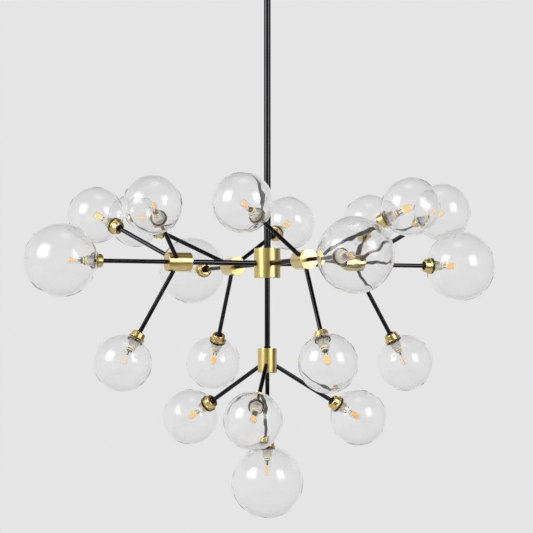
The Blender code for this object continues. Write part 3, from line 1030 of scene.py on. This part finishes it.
def add_canopy():
    radius = canopy_diameter / 2
    hole_radius = nipple_diameter / 2 + GAP
    inner_floor = canopy_floor + canopy_wall
    outside = dish(radius, canopy_corner, canopy_floor)
    inside = dish(radius - canopy_wall, canopy_corner - canopy_wall, inner_floor)
    outline = [(hole_radius, canopy_floor)] + outside + inside[::-1] + [(hole_radius, inner_floor)]
    screw_hole = rod(screw_shank_diameter + 2 * GAP, canopy_floor - OVERRUN, inner_floor + OVERRUN)
    cuts = []
    for side in ("left", "right"):
        place = middle(f"canopy_screw_{side}")
        where = Matrix.Translation((place.x, place.y, 0))
        cuts.append(("DIFFERENCE", turned(screw_hole, SMALL_FACETS), where))
    mesh = shape("canopy_dish", combined(turned(outline, DRUM_FACETS, GAP), cuts), "black")
    add_piece("canopy_dish", mesh, "ceiling", "canopy")


def add_canopy_screws():
    for side in ("left", "right"):
        node = f"canopy_screw_{side}"
        low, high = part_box(node)
        head = extent(node).x / 2
        shank = screw_shank_diameter / 2
        underside = canopy_floor - GAP
        dome_height = (underside - low.z) / 2
        turns = steps_between(0, pi / 2)[:-1]
        dome = [(head * cos(t), low.z + dome_height - dome_height * sin(t)) for t in turns]
        outline = [(0, low.z)] + dome[::-1] + [(head, underside), (shank, underside)]
        outline += [(shank, high.z), (0, high.z)]
        mesh = shape(f"thumb_screw_{side}", turned(outline, SMALL_FACETS, screw_rounding), "brass")
        where = Matrix.Translation(((low.x + high.x) / 2, (low.y + high.y) / 2, 0))
        add_piece(f"thumb_screw_{side}", mesh, "ceiling", node, where)


def knuckle_outline(width, top):
    """A lug round the origin: half a circle below, straight sides up to a flat top."""
    below = arc((0, 0), width / 2, -pi, 0, 4 * ARC_STEPS)
    return below + [(width / 2, top), (-width / 2, top)]


def pin_bore():
    reach = coupler_diameter
    return "DIFFERENCE", turned(rod(hanger_pin_diameter + 2 * GAP, -reach, reach), TUBE_FACETS), ACROSS


def add_clevis():
    """A round bar with a slot across its end, hung in the canopy's hole by a nut."""
    diameter = extent("hanger_clevis").x
    radius = diameter / 2
    shoulder = canopy_to_pin - GAP
    nut_bottom = canopy_to_pin + canopy_wall + GAP
    nut_top = nut_bottom + hanger_nut_height
    neck = nipple_diameter / 2
    outline = [(0, -radius - OVERRUN), (radius, -radius - OVERRUN), (radius, shoulder), (neck, shoulder)]
    outline += [(neck, nut_top), (0, nut_top)]
    slot_top = hanger_tongue_width / 2 + hanger_slot_clearance
    slot = [(-diameter, -diameter), (diameter, -diameter), (diameter, slot_top), (-diameter, slot_top)]
    tools = [
        ("INTERSECT", slab(knuckle_outline(diameter + 2 * GAP, nut_top + OVERRUN), 2 * diameter), ACROSS),
        ("DIFFERENCE", slab(slot, hanger_slot), ACROSS),
        pin_bore(),
    ]
    mesh = shape("hanger_fork", combined(turned(outline, DRUM_FACETS, hanger_rounding), tools), "black")
    where = Matrix.Translation(pin_centre)
    add_piece("hanger_fork", mesh, "ceiling", "hanger_clevis", where)
    nut = turned(rod(hanger_nut_width, nut_bottom, nut_top), NUT_SIDES, hanger_rounding)
    mesh = shape("hanger_nut", nut, "black")
    add_piece("hanger_nut", mesh, "ceiling", "hanger_clevis", where)


def add_hanger_pin():
    pin = hanger_pin_diameter / 2
    head = hanger_pin_head_diameter / 2
    head_face = extent("hanger_pin").x / 2
    head_back = head_face - hanger_pin_head_thickness
    half = [(0, head_face), (head, head_face), (head, head_back), (pin, head_back)]
    outline = [(r, -z) for r, z in half] + half[::-1]
    mesh = shape("cross_pin", turned(outline, SMALL_FACETS, GAP), "steel")
    where = Matrix.Translation(pin_centre) @ ACROSS
    add_piece("cross_pin", mesh, "ceiling", "hanger_pin", where)


def add_tongue():
    """A coupler with the stem's socket below, and a flat lug above it on the pin."""
    top = -extent("hanger_clevis").x / 2 - hanger_swing_clearance
    bottom = top - coupler_length
    lug = slab(knuckle_outline(hanger_tongue_width, OVERRUN - top), hanger_tongue_thickness)
    round_edges(lug, GAP)
    socket = rod(stem_diameter + 2 * GAP, bottom - OVERRUN, bottom + coupler_socket_depth)
    tools = [
        ("UNION", lug, Matrix.Rotation(pi, 4, "X") @ ACROSS),
        pin_bore(),
        ("DIFFERENCE", turned(socket, TUBE_FACETS), Matrix()),
    ]
    barrel = turned(rod(coupler_diameter, bottom, top), DRUM_FACETS, hanger_rounding)
    mesh = shape("coupler", combined(barrel, tools), "black")
    where = Matrix.Translation(pin_centre)
    add_piece("coupler", mesh, "chandelier", "hanger_tongue", where)


def finish_bracket():
    """The bracket's own node has the right shape, and only gets its finish."""
    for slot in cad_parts["ceiling_bracket"].material_slots:
        slot.material = MATERIALS["steel"]


# Camera, lamps and room


def camera_direction():
    """From the object to the camera."""
    level = cos(camera_rise)
    return Vector((-sin(camera_turn) * level, -cos(camera_turn) * level, -sin(camera_rise)))


def camera_aim():
    """What the camera looks at, a little below and to the left of the upper hub's centre."""
    leftwards = Vector((-cos(camera_turn), sin(camera_turn), 0))
    return upper_centre - Vector((0, 0, camera_aim_drop)) + leftwards * camera_aim_left


def camera_place():
    return camera_aim() + camera_direction() * camera_distance


def looking(backwards):
    """Turns local +Z to backwards, with local +Y up, as a camera or an area lamp needs."""
    z_axis = backwards.normalized()
    x_axis = Vector((0, 0, 1)).cross(z_axis).normalized()
    return Matrix((x_axis, z_axis.cross(x_axis), z_axis)).transposed().to_4x4()


def add_camera():
    data = bpy.data.cameras.new("photograph")
    data.lens = camera_lens
    data.sensor_width = sensor_width
    camera = bpy.data.objects.new("photograph", data)
    camera.matrix_world = Matrix.Translation(camera_place()) @ looking(camera_direction())
    bpy.context.scene.collection.objects.link(camera)
    bpy.context.scene.camera = camera


def soften_edges(data):
    """A soft box that is bright in its middle and fades to its edges."""
    data.use_nodes = True
    tree = data.node_tree
    places = separated(tree, add_node(tree, "ShaderNodeNewGeometry").outputs["Parametric"])
    fades = []
    for place in places[:2]:
        from_middle = maths(tree, "ABSOLUTE", maths(tree, "SUBTRACT", place, 0.5))
        fades.append(spread(tree, from_middle, 1.0, 0.0, core_share, 0.5, smooth=True))
    tree.links.new(maths(tree, "MULTIPLY", *fades), tree.nodes["Emission"].inputs["Strength"])


def add_lamp(name, turn, rise, width, height, distance, radiance):
    """A soft box that faces the upper hub. Its turn is rightwards from the camera's side, in degrees.

    It is kept out of sight, and out of what shows through the glass.
    """
    heading = radians(turn) - camera_turn
    level = cos(radians(rise))
    direction = Vector((sin(heading) * level, -cos(heading) * level, sin(radians(rise))))
    data = bpy.data.lights.new(name, "AREA")
    data.shape = "RECTANGLE"
    data.size = width
    data.size_y = height
    data.energy = radiance * pi * width * height
    soften_edges(data)
    lamp = bpy.data.objects.new(name, data)
    lamp.matrix_world = Matrix.Translation(upper_centre + direction * distance) @ looking(direction)
    lamp.visible_camera = False
    lamp.visible_transmission = False
    bpy.context.scene.collection.objects.link(lamp)


def add_world():
    """A pale room, whose ceiling, front and right side are darker in reflections.

    Behind the object everything sees the same pale backdrop.
    """
    world = bpy.data.worlds.new("room")
    world.use_nodes = True
    bpy.context.scene.world = world
    tree = world.node_tree
    direction = add_node(tree, "ShaderNodeTexCoord").outputs["Generated"]
    height = separated(tree, direction)[2]
    ceiling_level = backdrop_level * ceiling_shade
    backdrop = spread(tree, height, backdrop_level, ceiling_level, *ceiling_fade, smooth=True)
    rightwards = Vector((cos(camera_turn), -sin(camera_turn), 0))

    def along(line):
        values = {0: direction, 1: tuple(line)}
        return add_node(tree, "ShaderNodeVectorMath", values, operation="DOT_PRODUCT").outputs["Value"]

    forwards = along(camera_direction())
    front = spread(tree, forwards, 1.0, front_shade, *front_fade, smooth=True)
    aside = spread(tree, along(rightwards), left_shade, right_shade, *side_fade, smooth=True)
    behind = spread(tree, forwards, 1.0, 0.0, *behind_fade, smooth=True)
    shade = maths(tree, "MAXIMUM", maths(tree, "MULTIPLY", front, aside), behind)
    reflected = maths(tree, "MULTIPLY", backdrop, shade)
    rays = add_node(tree, "ShaderNodeLightPath").outputs

    def chosen(kind, value, otherwise):
        values = {0: rays[kind], 2: otherwise, 3: value}
        return add_node(tree, "ShaderNodeMix", values, data_type="FLOAT").outputs[0]

    level = chosen("Is Glossy Ray", reflected, fill_level)
    level = chosen("Is Transmission Ray", backdrop, level)
    level = chosen("Is Camera Ray", backdrop_level, level)
    tree.links.new(level, tree.nodes["Background"].inputs["Strength"])
    tree.nodes["Background"].inputs["Color"].default_value = (1.0, 1.0, 1.0, 1.0)


def floor_material():
    """Pale and plain, fading into the backdrop away from the object."""
    material, tree, shader = new_material("pale_floor", {"Roughness": 0.9, "Specular IOR Level": 0.2})
    place = object_place(tree)
    speckle = noise(tree, place, floor_speckles)
    colour = blended(tree, speckle, floor_colour, floor_speckle_colour)
    tree.links.new(colour, shader.inputs["Base Color"])
    reach = distance_from_line(tree, separated(tree, place))
    fade = spread(tree, reach, 0.0, 1.0, floor_fade_start, floor_radius, smooth=True)
    show_mixed(tree, fade, shader, add_node(tree, "ShaderNodeBsdfTransparent"))
    return material


def add_floor():
    bm = bmesh.new()
    bmesh.ops.create_circle(bm, cap_ends=True, segments=FLOOR_FACETS, radius=floor_radius)
    bmesh.ops.translate(bm, vec=(0, 0, -ceiling_to_floor), verts=bm.verts)
    mesh = bpy.data.meshes.new("floor")
    bm.to_mesh(mesh)
    bm.free()
    mesh.materials.append(floor_material())
    floor = bpy.data.objects.new("floor", mesh)
    bpy.context.scene.collection.objects.link(floor)


def set_light_paths():
    """Enough bounces to see through several globes, one behind the other."""
    cycles = bpy.context.scene.cycles
    cycles.max_bounces = glass_bounces
    cycles.transmission_bounces = glass_bounces
    cycles.transparent_max_bounces = glass_bounces
    cycles.glossy_bounces = mirror_bounces
    cycles.caustics_reflective = False
    cycles.caustics_refractive = True
    bpy.context.scene.view_settings.view_transform = "Standard"


add_clusters()
add_tubes()
add_canopy()
add_canopy_screws()
add_clevis()
add_hanger_pin()
add_tongue()
finish_bracket()
add_camera()
for lamp_name, lamp_values in lamps.items():
    add_lamp(lamp_name, **lamp_values)
add_world()
add_floor()
set_light_paths()
